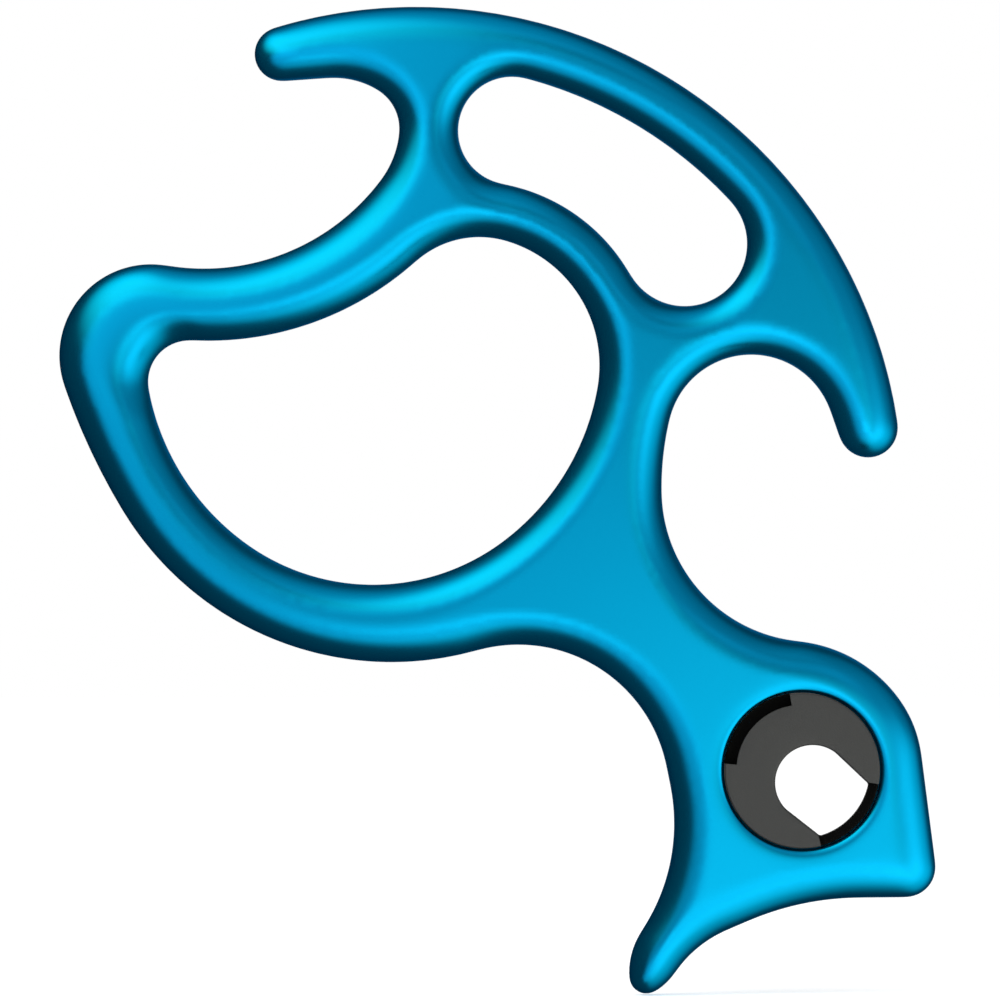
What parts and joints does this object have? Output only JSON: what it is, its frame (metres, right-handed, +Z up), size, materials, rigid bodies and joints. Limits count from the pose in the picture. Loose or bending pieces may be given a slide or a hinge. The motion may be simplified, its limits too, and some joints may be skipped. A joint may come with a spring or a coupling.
{
  "type": "figure eight descender",
  "caption": "Flat forged rescue descender with a wide crescent ring, a rope slot under a horned crossbar, a tail and tab, and a moulded keeper in its karabiner eye.",
  "frame": {"origin": "centre of the karabiner eye's bore, in the middle of the plate's thickness", "axes": "+Z up along the plate towards the crossbar, +Y through the plate from the marked front face to the back, +X towards the tab's corner"},
  "size_m": [0.1359, 0.012, 0.153],
  "materials": {
    "descender_body": "satin blue anodised, hot forged",
    "karabiner_insert": "matt black moulded"
  },
  "bodies": {
    "root": {"descender_body": "descender_body", "karabiner_insert": "karabiner_insert"}
  },
  "joints": []
}
